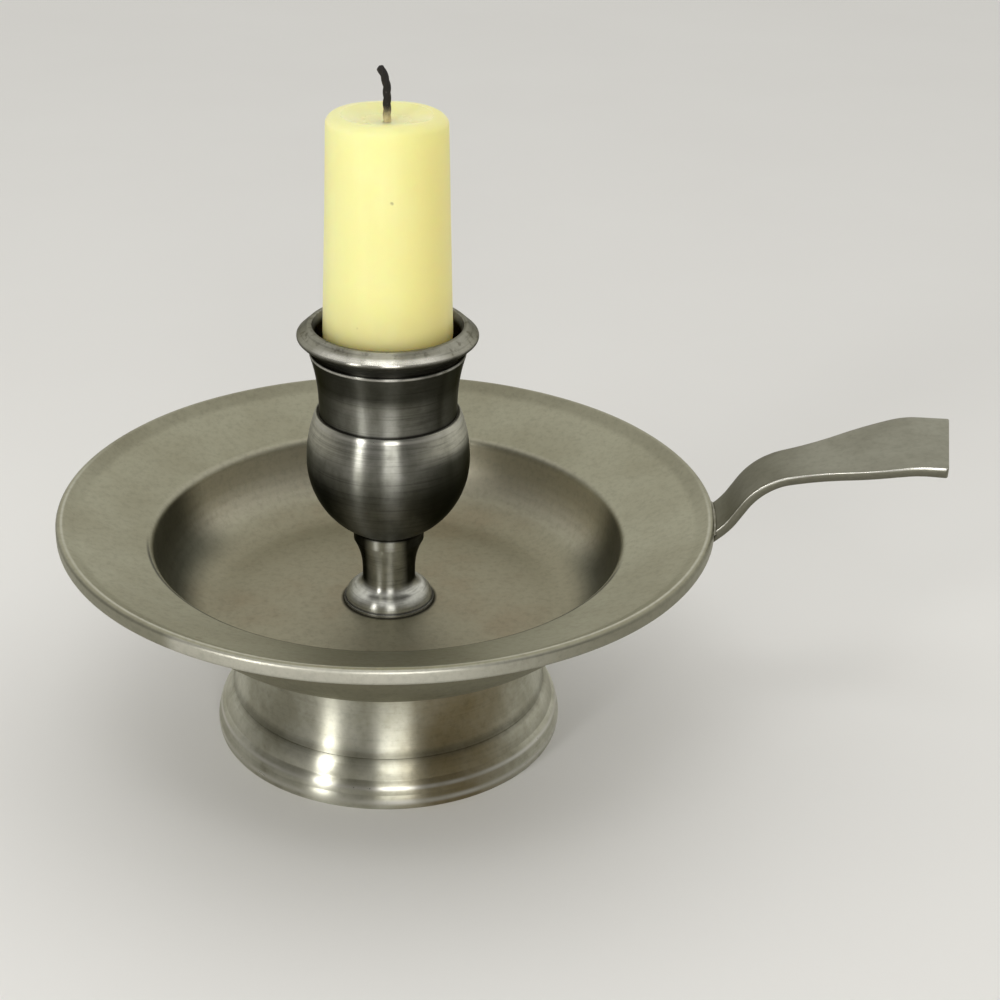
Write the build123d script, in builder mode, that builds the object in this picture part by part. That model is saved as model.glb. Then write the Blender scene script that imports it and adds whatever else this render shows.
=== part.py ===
"""Pewter chamberstick: a dished drip pan on a hollow foot, a turned candle socket on a stem,
a flat strap handle and a short candle that lifts out.

Millimetres, +Z up. The origin is the centre of the foot's base, on the surface it stands on,
and the handle points along +X. The pieces are built from the foot upwards.
"""

import os
from math import asin, cos, degrees, radians, sin, tan

from build123d import *

os.makedirs("parts", exist_ok=True)

# Stock and fits
sheet = 1.4  # wall of the spun pan and foot
turned_fit = 0.02  # radial play of a soldered spigot or tenon in its bore
screw_play = 0.25  # radial play of the screw in the pan and the washer
candle_play = 0.4  # radial play of the candle in its socket
wick_play = 0.05  # radial play of the wick in the candle
solder_leg = 1.2  # reach of a solder fillet along each face

# Foot, from the surface upwards
base_edge_radius = 31.9  # at the surface
band_radius = 31.8  # at the top of the bottom band
torus_radius = 30.7  # at the top of the middle moulding
ovolo_radius = 29.1  # at the top of the upper moulding
band_height = 2.8
torus_height = 2.4
ovolo_height = 3.4
moulding_bulge = 0.25
crease_step = 0.2  # ledge between the upper moulding and the cove
cove_height = 9.8
foot_waist_radius = 27.1
foot_height = 23.4  # surface to the underside of the pan
foot_ledge_radius = 18.0  # opening in the ledge that the pan is soldered to

# Drip pan
pan_radius = 58.5
lip_width = 3.3  # rim to the fold where the flange turns up
lip_top_width = 1.2
lip_height = 1.4  # fold to the rim
lip_face = 2.8  # height of the outer face
lip_round = 0.7
lip_fold = 6.0  # radius of the fold
flange_rise = 4.8  # from the edge of the well to the fold
well_radius = 42.2
well_taper = 2.0  # how much narrower the well is at its floor
well_depth = 13.9
well_corner = 12.0
well_edge_round = 1.8

# Socket stem
stem_height = 14.9  # pan floor to the bulb
stem_base_radius = 8.2
stem_base_height = 0.6
stem_shoulder_radius = 7.9
stem_shoulder_height = 2.4
stem_cove_radius = 6.0
stem_waist_radius = 4.8
stem_waist_height = 4.8  # pan floor to the foot of the waist
stem_waist_length = 1.6
stem_collar_radius = 6.35
stem_collar_height = 2.3
tenon_radius = 3.0
tenon_length = 5.0
tenon_end_gap = 0.3

# Socket bulb
bulb_foot_radius = 6.3
bulb_radius = 14.5
bulb_top_radius = 12.8
bulb_belly_height = 13.5  # collar to the widest ring
bulb_height = 22.6

# Socket nozzle
nozzle_height = 16.3  # bulb to the rim
nozzle_radius = 12.15
spigot_length = 4.0  # let into the bulb
neck_foot_height = 1.5  # straight part above the bulb
neck_height = 11.0  # bulb to the ring under the lip
ring_radius = 13.6
ring_height = 0.5
groove_radius = 13.05
groove_height = 0.3
flare_radius = 15.2
flare_hollow = 0.25
nozzle_lip_radius = 15.7
nozzle_lip_height = 2.7
nozzle_lip_round = 0.5
nozzle_lip_under = 0.5
nozzle_lip_edge = 0.5  # height of the lip's outer face
nozzle_lip_land = 0.7  # width of its flat top
mouth_radius = 13.1
mouth_depth = 4.9
socket_bore_radius = 11.3
socket_depth = 30.0

# Screw and washer under the pan
screw_radius = 2.0
screw_reach = 7.5  # above the pan floor
screw_end_gap = 1.0
screw_head_radius = 3.6
screw_head_height = 2.2
screw_slot_width = 0.9
screw_slot_depth = 1.0
washer_radius = 6.5
washer_thickness = 0.8

# Strap handle
strap_thickness = 1.6
strap_tip_thickness = 1.9
strap_root_drop = 0.2  # rim to the strap's upper face, where they meet
strap_root_angle = 42.0
strap_root_run = 1.3  # rim to the bend at the root
strap_root_round = 13.0
strap_rise_angle = 58.2
strap_rise_run = 5.3  # bend at the root to the knee
strap_knee_round = 13.2
strap_blade_angle = 14.4
strap_blade_run = 26.2  # knee to where the blade levels out
strap_blade_round = 19.0
strap_tip_angle = -0.5
strap_tip_run = 6.5
strap_root_width = 11.5
strap_blade_width = 21.4
strap_straight_run = 9.0  # rim to where the strap starts to widen
strap_swell_run = 27.0  # length over which it widens
strap_swell_turn = 0.45  # share of the widening that lies before its curve turns
strap_end_skew = 9.0  # how far the end is cut off square, in degrees
strap_corner_round = 0.5
strap_overlap = 4.0  # length added inside the rim before the root is coped to it
seam_radius = 0.7  # solder seam along the root
seam_overrun = 0.8  # past each side of the strap

# Candle and wick
candle_radius = 11.23  # where it leaves the socket
candle_taper = 0.03  # loss of radius for each millimetre of height
candle_shoulder_height = 3.5  # from the trimmed butt to the full radius
candle_stand = 36.5  # above the rim of the socket
candle_edge_round = 1.6
pool_radius = 7.6
pool_depth = 1.5
wick_radius = 0.7
wick_stand = 5.0  # straight length above the pool
wick_hook_radius = 7.0
wick_hook_angle = 35.0

# Heights that follow
pan_floor = foot_height + sheet
well_edge = pan_floor + well_depth
flange_edge = well_edge + flange_rise
rim = flange_edge + lip_height
bulb_foot = pan_floor + stem_height
bulb_top = bulb_foot + bulb_height
socket_rim = bulb_top + nozzle_height
seat = socket_rim - socket_depth
mouth_bottom = socket_rim - mouth_depth
candle_top = socket_rim + candle_stand
screw_hole_radius = screw_radius + screw_play


def offset_corner(before, corner, after, distance):
    """Corner of a bent sheet's other face, to the right of the path through the three points."""
    entry = (Vector(*corner) - Vector(*before)).normalized()
    leave = (Vector(*after) - Vector(*corner)).normalized()
    entry_normal = Vector(entry.Y, -entry.X)
    leave_normal = Vector(leave.Y, -leave.X)
    shift = (entry_normal + leave_normal) * (distance / (1 + entry_normal.dot(leave_normal)))
    return (corner[0] + shift.X, corner[1] + shift.Y)


# Foot: three base mouldings, a cove, a plain waist and a ledge under the pan
band_top = band_height
torus_top = band_top + torus_height
base_height = torus_top + ovolo_height
cove_foot_radius = ovolo_radius - crease_step
cove_top = base_height + cove_height
waist_bore = foot_waist_radius - sheet

with BuildPart() as foot:
    with BuildSketch(Plane.XZ):
        with BuildLine():
            SagittaArc((base_edge_radius, 0), (band_radius, band_top), -moulding_bulge)
            SagittaArc((band_radius, band_top), (torus_radius, torus_top), -moulding_bulge)
            SagittaArc((torus_radius, torus_top), (ovolo_radius, base_height), -moulding_bulge)
            Line((ovolo_radius, base_height), (cove_foot_radius, base_height))
            TangentArc((foot_waist_radius, cove_top), (cove_foot_radius, base_height), tangent=(0, -1))
            Polyline(
                (foot_waist_radius, cove_top),
                (foot_waist_radius, foot_height),
                (foot_ledge_radius, foot_height),
                (foot_ledge_radius, foot_height - sheet),
                (waist_bore, foot_height - sheet),
                (waist_bore, cove_top),
            )
            TangentArc((waist_bore, cove_top), (cove_foot_radius - sheet, base_height), tangent=(0, -1))
            Polyline(
                (cove_foot_radius - sheet, base_height),
                (torus_radius - sheet, torus_top - sheet),
                (base_edge_radius - sheet, 0),
                (base_edge_radius, 0),
            )
        make_face()
    revolve(axis=Axis.Z)
foot.part.label = "foot"
export_step(foot.part, "parts/foot.step")

# Solder fillet in the corner between the foot's waist and the pan
with BuildPart() as foot_solder:
    with BuildSketch(Plane.XZ):
        with BuildLine():
            Polyline(
                (foot_waist_radius, foot_height - solder_leg),
                (foot_waist_radius, foot_height),
                (foot_waist_radius + solder_leg, foot_height),
            )
            RadiusArc(
                (foot_waist_radius, foot_height - solder_leg),
                (foot_waist_radius + solder_leg, foot_height),
                solder_leg,
            )
        make_face()
    revolve(axis=Axis.Z)
foot_solder.part.label = "foot_solder"
export_step(foot_solder.part, "parts/foot_solder.step")

# Drip pan: floor, well wall and flange of one sheet, with its edge turned up as a lip
floor_corner = (well_radius - well_taper, pan_floor)
well_corner_top = (well_radius, well_edge)
lip_root = (pan_radius - lip_width, flange_edge)
lip_top = (pan_radius - lip_top_width, rim)
floor_start = (screw_hole_radius, pan_floor)

with BuildPart() as drip_pan:
    with BuildSketch(Plane.XZ):
        with BuildLine():
            FilletPolyline(
                floor_start,
                floor_corner,
                well_corner_top,
                lip_root,
                lip_top,
                (pan_radius, rim),
                (pan_radius, rim - lip_face),
                offset_corner(well_corner_top, lip_root, lip_top, sheet),
                offset_corner(floor_corner, well_corner_top, lip_root, sheet),
                offset_corner(floor_start, floor_corner, well_corner_top, sheet),
                (screw_hole_radius, pan_floor - sheet),
                radius=[
                    0,
                    well_corner,
                    well_edge_round,
                    lip_fold,
                    lip_round,
                    lip_round,
                    lip_round,
                    lip_round,
                    well_edge_round - sheet,
                    well_corner + sheet,
                    0,
                ],
                close=True,
            )
        make_face()
    revolve(axis=Axis.Z)
drip_pan.part.label = "drip_pan"
export_step(drip_pan.part, "parts/drip_pan.step")

# Socket stem: base disc, ogee shoulder, waist and flared collar, tapped below and tenoned above
stem_base_top = pan_floor + stem_base_height
stem_cove_foot = stem_base_top + stem_shoulder_height
stem_waist_foot = (stem_waist_radius, pan_floor + stem_waist_height)
stem_waist_top = (stem_waist_radius, stem_waist_foot[1] + stem_waist_length)
collar_foot = bulb_foot - stem_collar_height
tapped_top = pan_floor + screw_reach + screw_end_gap

with BuildPart() as socket_stem:
    with BuildSketch(Plane.XZ):
        with BuildLine():
            Polyline(
                (screw_radius, tapped_top),
                (screw_radius, pan_floor),
                (stem_base_radius, pan_floor),
                (stem_base_radius, stem_base_top),
                (stem_shoulder_radius, stem_base_top),
            )
            TangentArc(
                (stem_shoulder_radius, stem_base_top),
                (stem_cove_radius, stem_cove_foot),
                tangent=(0, 1),
            )
            TangentArc(stem_waist_foot, (stem_cove_radius, stem_cove_foot), tangent=(0, -1))
            Line(stem_waist_foot, stem_waist_top)
            TangentArc(stem_waist_top, (stem_collar_radius, collar_foot), tangent=(0, 1))
            Polyline(
                (stem_collar_radius, collar_foot),
                (stem_collar_radius, bulb_foot),
                (tenon_radius, bulb_foot),
                (tenon_radius, bulb_foot + tenon_length),
                (0, bulb_foot + tenon_length),
                (0, tapped_top),
                (screw_radius, tapped_top),
            )
        make_face()
    revolve(axis=Axis.Z)
socket_stem.part.label = "socket_stem"
export_step(socket_stem.part, "parts/socket_stem.step")

# Socket bulb: a cup with two arcs that meet at its widest ring, bored for candle and nozzle
bulb_belly = (bulb_radius, bulb_foot + bulb_belly_height)
spigot_bore = nozzle_radius + turned_fit
spigot_foot = bulb_top - spigot_length
tenon_bore = tenon_radius + turned_fit
tenon_bore_top = bulb_foot + tenon_length + tenon_end_gap

with BuildPart() as socket_bulb:
    with BuildSketch(Plane.XZ):
        with BuildLine():
            TangentArc(bulb_belly, (bulb_foot_radius, bulb_foot), tangent=(0, -1))
            TangentArc(bulb_belly, (bulb_top_radius, bulb_top), tangent=(0, 1))
            Polyline(
                (bulb_top_radius, bulb_top),
                (spigot_bore, bulb_top),
                (spigot_bore, spigot_foot),
                (socket_bore_radius, spigot_foot),
                (socket_bore_radius, seat),
                (0, seat),
                (0, tenon_bore_top),
                (tenon_bore, tenon_bore_top),
                (tenon_bore, bulb_foot),
                (bulb_foot_radius, bulb_foot),
            )
        make_face()
    revolve(axis=Axis.Z)
socket_bulb.part.label = "socket_bulb"
export_step(socket_bulb.part, "parts/socket_bulb.step")

# Socket nozzle: flaring neck, sharp ring, turned groove and chamfered lip, with a flared mouth
neck_foot = bulb_top + neck_foot_height
ring_foot = bulb_top + neck_height
ring_top = ring_foot + ring_height
groove_top = ring_top + groove_height
nozzle_lip_foot = socket_rim - nozzle_lip_height

with BuildPart() as socket_nozzle:
    with BuildSketch(Plane.XZ):
        with BuildLine():
            Line((nozzle_radius, spigot_foot), (nozzle_radius, neck_foot))
            TangentArc((nozzle_radius, neck_foot), (ring_radius, ring_foot), tangent=(0, 1))
            Polyline(
                (ring_radius, ring_foot),
                (ring_radius, ring_top),
                (groove_radius, ring_top),
                (groove_radius, groove_top),
            )
            SagittaArc((groove_radius, groove_top), (flare_radius, nozzle_lip_foot), flare_hollow)
            FilletPolyline(
                (flare_radius, nozzle_lip_foot),
                (nozzle_lip_radius, nozzle_lip_foot + nozzle_lip_under),
                (nozzle_lip_radius, nozzle_lip_foot + nozzle_lip_under + nozzle_lip_edge),
                (mouth_radius + nozzle_lip_land, socket_rim),
                (mouth_radius, socket_rim),
                (socket_bore_radius, mouth_bottom),
                (socket_bore_radius, spigot_foot),
                (nozzle_radius, spigot_foot),
                radius=[0, nozzle_lip_round, nozzle_lip_round, 0, 0, 0],
            )
        make_face()
    revolve(axis=Axis.Z)
socket_nozzle.part.label = "socket_nozzle"
export_step(socket_nozzle.part, "parts/socket_nozzle.step")

# Washer and slotted screw that draw the stem down on the pan
washer_foot = foot_height - washer_thickness
screw_head_foot = washer_foot - screw_head_height

with BuildPart() as fixing_washer:
    with BuildSketch(Plane.XY.offset(washer_foot)):
        Circle(washer_radius)
        Circle(screw_hole_radius, mode=Mode.SUBTRACT)
    extrude(amount=washer_thickness)
fixing_washer.part.label = "fixing_washer"
export_step(fixing_washer.part, "parts/fixing_washer.step")

with BuildPart() as fixing_screw:
    with BuildSketch(Plane.XZ):
        with BuildLine():
            Polyline(
                (screw_head_radius, washer_foot),
                (screw_radius, washer_foot),
                (screw_radius, pan_floor + screw_reach),
                (0, pan_floor + screw_reach),
                (0, screw_head_foot),
            )
            TangentArc((0, screw_head_foot), (screw_head_radius, washer_foot), tangent=(1, 0))
        make_face()
    revolve(axis=Axis.Z)
    with BuildSketch(Plane.XY.offset(screw_head_foot)):
        Rectangle(2 * screw_head_radius, screw_slot_width)
    extrude(amount=screw_slot_depth, mode=Mode.SUBTRACT)
fixing_screw.part.label = "fixing_screw"
export_step(fixing_screw.part, "parts/fixing_screw.step")

# Strap handle: side view and plan cut from one another, root coped to the rim
strap_root_top = rim - strap_root_drop
root_slope = tan(radians(strap_root_angle))
rise_slope = tan(radians(strap_rise_angle))
blade_slope = tan(radians(strap_blade_angle))
tip_slope = tan(radians(strap_tip_angle))
strap_foot_drop = strap_thickness / cos(radians(strap_root_angle))
end_shift = strap_blade_width / 2 * tan(radians(strap_end_skew))
strap_start = (pan_radius - strap_overlap, strap_root_top - strap_overlap * root_slope)
strap_bend = (pan_radius + strap_root_run, strap_root_top + strap_root_run * root_slope)
strap_knee = (strap_bend[0] + strap_rise_run, strap_bend[1] + strap_rise_run * rise_slope)
strap_level = (strap_knee[0] + strap_blade_run, strap_knee[1] + strap_blade_run * blade_slope)
strap_end = strap_level[0] + strap_tip_run
strap_tip = (strap_end + end_shift, strap_level[1] + (strap_tip_run + end_shift) * tip_slope)
swell_start = pan_radius + strap_straight_run
swell_end = swell_start + strap_swell_run
swell_turn = swell_start + strap_swell_turn * strap_swell_run
turn_width = strap_root_width + strap_swell_turn * (strap_blade_width - strap_root_width)

with BuildPart() as strap_handle:
    with BuildSketch(Plane.XZ):
        with BuildLine():
            FilletPolyline(
                strap_start,
                strap_bend,
                strap_knee,
                strap_level,
                strap_tip,
                (strap_tip[0], strap_tip[1] - strap_tip_thickness),
                offset_corner(strap_knee, strap_level, strap_tip, strap_thickness),
                offset_corner(strap_bend, strap_knee, strap_level, strap_thickness),
                offset_corner(strap_start, strap_bend, strap_knee, strap_thickness),
                (strap_start[0], strap_start[1] - strap_foot_drop),
                radius=[
                    0,
                    strap_root_round,
                    strap_knee_round,
                    strap_blade_round,
                    0,
                    0,
                    strap_blade_round - strap_thickness,
                    strap_knee_round - strap_thickness,
                    strap_root_round + strap_thickness,
                    0,
                ],
                close=True,
            )
        make_face()
    extrude(amount=strap_blade_width, both=True)
    with BuildSketch(Plane.XY) as strap_plan:
        with BuildLine():
            for side in (1, -1):
                root_edge = side * strap_root_width / 2
                turn_edge = side * turn_width / 2
                blade_edge = side * strap_blade_width / 2
                Line((0, root_edge), (swell_start, root_edge))
                TangentArc((swell_start, root_edge), (swell_turn, turn_edge), tangent=(1, 0))
                TangentArc((swell_end, blade_edge), (swell_turn, turn_edge), tangent=(-1, 0))
                Line((swell_end, blade_edge), (strap_end + side * end_shift, blade_edge))
            Line((0, -strap_root_width / 2), (0, strap_root_width / 2))
            Line(
                (strap_end - end_shift, -strap_blade_width / 2),
                (strap_end + end_shift, strap_blade_width / 2),
            )
        make_face()
        fillet(strap_plan.vertices().sort_by(Axis.X)[-2:], strap_corner_round)
    extrude(amount=2 * strap_tip[1], mode=Mode.INTERSECT)
    with BuildSketch(Plane.XY):
        Circle(pan_radius)
    extrude(amount=2 * strap_tip[1], mode=Mode.SUBTRACT)
strap_handle.part.label = "strap_handle"
export_step(strap_handle.part, "parts/strap_handle.step")

# Solder seam in the notch between the lip and the strap, run a little past each side
seam_half_angle = asin((strap_root_width / 2 + seam_overrun) / pan_radius)
seam_start = Plane(
    origin=(0, 0, 0),
    x_dir=(cos(seam_half_angle), -sin(seam_half_angle), 0),
    z_dir=(-sin(seam_half_angle), -cos(seam_half_angle), 0),
)

with BuildPart() as handle_solder:
    with BuildSketch(seam_start):
        with Locations((pan_radius, rim - seam_radius)):
            Circle(seam_radius)
    revolve(axis=Axis.Z, revolution_arc=2 * degrees(seam_half_angle))
    add(drip_pan.part, mode=Mode.SUBTRACT)
    add(strap_handle.part, mode=Mode.SUBTRACT)
handle_solder.part.label = "handle_solder"
export_step(handle_solder.part, "parts/handle_solder.step")

# Candle: trimmed butt in the socket, slight taper, soft upper edge and a shallow wax pool
butt_radius = socket_bore_radius - candle_play
shoulder_foot = mouth_bottom
shoulder_top = shoulder_foot + candle_shoulder_height
candle_top_radius = candle_radius - candle_taper * (candle_top - shoulder_top)
wick_hole = wick_radius + wick_play
pool_floor = candle_top - pool_depth

with BuildPart() as candle:
    with BuildSketch(Plane.XZ):
        with BuildLine():
            FilletPolyline(
                (wick_hole, pool_floor),
                (wick_hole, seat),
                (butt_radius, seat),
                (butt_radius, shoulder_foot),
                (candle_radius, shoulder_top),
                (candle_top_radius, candle_top),
                (pool_radius, candle_top),
                radius=[0, 0, 0, 0, candle_edge_round],
            )
            SagittaArc((pool_radius, candle_top), (wick_hole, pool_floor), pool_depth / 4)
        make_face()
    revolve(axis=Axis.Z)
candle.part.label = "candle"
export_step(candle.part, "parts/candle.step")

# Wick: through the candle, then a short charred hook above the pool
hook_start = pool_floor + wick_stand

with BuildPart() as wick:
    with BuildLine(Plane.XZ) as wick_path:
        Line((0, seat), (0, hook_start))
        JernArc(
            start=(0, hook_start),
            tangent=(0, 1),
            radius=wick_hook_radius,
            arc_size=wick_hook_angle,
        )
    with BuildSketch(Plane.XY.offset(seat)):
        Circle(wick_radius)
    sweep(path=wick_path.line)
wick.part.label = "wick"
export_step(wick.part, "parts/wick.step")
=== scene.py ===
"""Pewter chamberstick with a short candle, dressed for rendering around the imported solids.

Metres, +Z up, handle along +X. The sections follow the object as it is put together: foot, drip
pan, screw and washer, stem, bulb, nozzle, strap, candle and wick, then the table, light and camera.
"""

import math

import bmesh
import bpy
import numpy as np
from mathutils import Matrix, Vector


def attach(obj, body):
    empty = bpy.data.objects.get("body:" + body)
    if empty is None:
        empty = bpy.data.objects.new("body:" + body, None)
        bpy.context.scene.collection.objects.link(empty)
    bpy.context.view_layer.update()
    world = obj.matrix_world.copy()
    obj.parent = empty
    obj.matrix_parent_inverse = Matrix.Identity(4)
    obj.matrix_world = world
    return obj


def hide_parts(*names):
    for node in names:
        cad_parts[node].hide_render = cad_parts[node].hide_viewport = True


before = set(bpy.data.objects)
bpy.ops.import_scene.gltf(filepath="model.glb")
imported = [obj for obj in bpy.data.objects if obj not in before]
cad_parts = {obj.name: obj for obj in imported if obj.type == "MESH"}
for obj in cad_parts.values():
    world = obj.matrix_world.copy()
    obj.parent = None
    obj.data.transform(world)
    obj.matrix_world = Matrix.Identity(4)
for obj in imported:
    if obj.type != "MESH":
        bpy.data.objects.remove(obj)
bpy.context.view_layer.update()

# Foot: a hollow pedestal of pewter, spun over a form and then turned bright on the lathe, with
# three mouldings round its base and a cove below the plain waist. A ledge at the top is soldered
# to the pan, and the inside was left as it came off the form.
MM = 0.001
TURNS = 192  # meridians of a turned piece


def arc(start, end, heading, count=14):
    """Circular arc from start to end that leaves start in the direction heading, in degrees.
    The tangent turns by twice the angle between heading and chord, and the radius is the chord
    over twice the sine of that angle."""
    chord = np.subtract(end, start)
    first = math.radians(heading)
    half_turn = (math.atan2(chord[1], chord[0]) - first + math.pi) % (2 * math.pi) - math.pi
    radius = math.hypot(*chord) / (2 * math.sin(half_turn))
    angle = first + 2 * half_turn * np.linspace(0, 1, count)
    steps = [np.sin(angle) - math.sin(first), math.cos(first) - np.cos(angle)]
    return np.array(start) + radius * np.stack(steps, 1)


def bowed(start, end, rise, count=8):
    """Circular arc from start to end whose middle lies rise to the left of the chord."""
    chord = np.subtract(end, start)
    lean = 2 * math.atan2(2 * rise, math.hypot(*chord))
    return arc(start, end, math.degrees(math.atan2(chord[1], chord[0]) + lean), count)


def cut_fine(outline, step):
    """Closed outline whose edges are divided into equal parts no longer than step."""
    edge = np.roll(outline, -1, 0) - outline
    parts = np.ceil(np.hypot(*edge.T) / step - 1e-9).astype(int)
    item = np.repeat(np.arange(len(outline)), parts)
    share = (np.arange(len(item)) - np.repeat(np.cumsum(parts) - parts, parts)) / parts[item]
    return outline[item] + share[:, None] * edge[item]


def eased(outline, radius):
    """Closed outline with its corners eased: a corner that turns by over 12 degrees becomes points
    of the parabola that touches both edges at the tangent length of that radius. Points given twice
    count once."""
    parts = 6
    outline = outline[np.hypot(*(np.roll(outline, -1, 0) - outline).T) > 1e-6]
    arriving = outline - np.roll(outline, 1, 0)
    leaving = np.roll(outline, -1, 0) - outline
    length_in, length_out = np.hypot(*arriving.T), np.hypot(*leaving.T)
    cross = arriving[:, 0] * leaving[:, 1] - arriving[:, 1] * leaving[:, 0]
    turn = np.abs(np.arctan2(cross, (arriving * leaving).sum(1)))
    sharp = turn > math.radians(12)
    tangent = radius * np.tan(np.minimum(turn, 2.6) / 2)
    reach = np.where(sharp, np.minimum(tangent, 0.4 * np.minimum(length_in, length_out)), 0)
    count = np.where(sharp, parts + 1, 1)
    item = np.repeat(np.arange(len(outline)), count)
    step = np.arange(len(item)) - np.repeat(np.cumsum(count) - count, count)
    t = (step / parts)[:, None]
    entry = (outline - arriving * (reach / length_in)[:, None])[item]
    leave = (outline + leaving * (reach / length_out)[:, None])[item]
    return (1 - t) ** 2 * entry + 2 * t * (1 - t) * outline[item] + t**2 * leave


def grid_faces(rows, columns, close_rows=True):
    """Quads of a grid of points, closed round its columns and, where asked, round its rows."""
    first_rows = np.arange(rows if close_rows else rows - 1)
    row, column = np.meshgrid(first_rows, np.arange(columns), indexing="ij")
    next_row, next_column = (row + 1) % rows, (column + 1) % columns
    corners = [(row, column), (row, next_column), (next_row, next_column), (next_row, column)]
    return np.stack([i * columns + j for i, j in corners], -1).reshape(-1, 4)


def finished_mesh(name, points, faces):
    """Object from an array of points in millimetres and an array of quads, with its poles and
    seams merged and smooth faces."""
    mesh = bpy.data.meshes.new(name)
    mesh.from_pydata((points.reshape(-1, 3) * MM).tolist(), [], faces.tolist())
    shell = bmesh.new()
    shell.from_mesh(mesh)
    bmesh.ops.remove_doubles(shell, verts=shell.verts, dist=1e-7)
    bmesh.ops.dissolve_degenerate(shell, edges=shell.edges, dist=1e-8)
    shell.to_mesh(mesh)
    shell.free()
    mesh.shade_smooth()
    piece = bpy.data.objects.new(name, mesh)
    bpy.context.scene.collection.objects.link(piece)
    return piece


def turned(name, outline, step=0.7, ease=0.15, stray=None):
    """Solid of revolution: each outline point (radius, height), counter-clockwise, is carried round
    the Z axis. Stray gives small departures (outwards, upwards) from angle, radius and height."""
    radius, height = cut_fine(eased(outline, ease), step).T
    angle = np.linspace(0, 2 * math.pi, TURNS, endpoint=False)
    angle, radius = np.meshgrid(angle, radius)
    height = np.broadcast_to(height[:, None], radius.shape)
    if stray:
        outwards, upwards = stray(angle, radius, height)
        radius, height = radius + outwards, height + upwards
    points = np.stack([radius * np.cos(angle), radius * np.sin(angle), height], -1)
    return finished_mesh(name, points, grid_faces(*radius.shape))


class Socket:
    """One output socket in a material's node tree. Arithmetic on it adds Math nodes."""

    def __init__(self, tree, output=None):
        self.tree = tree
        self.output = output

    def node(self, kind, settings=None, values=None, output=0):
        """Adds a node of that kind, sets it up, fills or links its inputs, and wraps an output."""
        made = self.tree.nodes.new(kind)
        for key, value in (settings or {}).items():
            setattr(made, key, value)
        for key, value in (values or {}).items():
            if isinstance(value, Socket):
                self.tree.links.new(value.output, made.inputs[key])
            else:
                made.inputs[key].default_value = value
        return Socket(self.tree, made.outputs[output])

    def math(self, operation, *terms):
        return self.node("ShaderNodeMath", {"operation": operation}, dict(enumerate(terms)))

    def __add__(self, other):
        return self.math("ADD", self, other)

    def __sub__(self, other):
        return self.math("SUBTRACT", self, other)

    def __rsub__(self, other):
        return self.math("SUBTRACT", other, self)

    def __mul__(self, other):
        return self.math("MULTIPLY", self, other)

    def __truediv__(self, other):
        return self.math("DIVIDE", self, other)

    def __pow__(self, other):
        return self.math("POWER", self, other)

    __radd__, __rmul__ = __add__, __mul__

    def rising(self, low, high):
        """0 below low, 1 above high, smooth between. With low over high it falls instead."""
        values = {"Value": self, "From Min": low, "From Max": high}
        return self.node("ShaderNodeMapRange", {"interpolation_type": "SMOOTHSTEP"}, values)

    def towards(self, low, high):
        """Colour that goes from low to high with this value."""
        return self.node("ShaderNodeMix", {"data_type": "RGBA"}, {0: self, 6: low, 7: high}, 2)


def noise(place, scale, detail=3.0, roughness=0.55):
    values = {"Vector": place, "Scale": scale, "Detail": detail, "Roughness": roughness}
    return place.node("ShaderNodeTexNoise", {}, values, "Fac")


def combined(x, y, z):
    return x.node("ShaderNodeCombineXYZ", {}, {"X": x, "Y": y, "Z": z})


def split(place):
    """The three parts of a vector."""
    made = place.node("ShaderNodeSeparateXYZ", {}, {0: place}).output.node
    return (Socket(place.tree, output) for output in made.outputs)


def ring_mask(radius, height, rings):
    """1 on each ring (radius, height, reach in millimetres), falling to 0 at its reach."""
    mask = 0
    for ring_radius, ring_height, reach in rings:
        away = ((radius - ring_radius * MM) ** 2 + (height - ring_height * MM) ** 2) ** 0.5
        mask = away.rising(reach * MM, 0.0) + mask
    return mask


def new_material(name, metallic):
    """Material, its shader and the Object coordinates that its patterns read."""
    material = bpy.data.materials.new(name)
    material.use_nodes = True
    shader = material.node_tree.nodes["Principled BSDF"]
    shader.inputs["Metallic"].default_value = metallic
    place = Socket(material.node_tree).node("ShaderNodeTexCoord", output="Object")
    return material, shader, place


def feed(shader, **links):
    """Links sockets to a shader's inputs, with _ in a keyword for a blank."""
    for key, value in links.items():
        value.tree.links.new(value.output, shader.inputs[key.replace("_", " ")])


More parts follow.
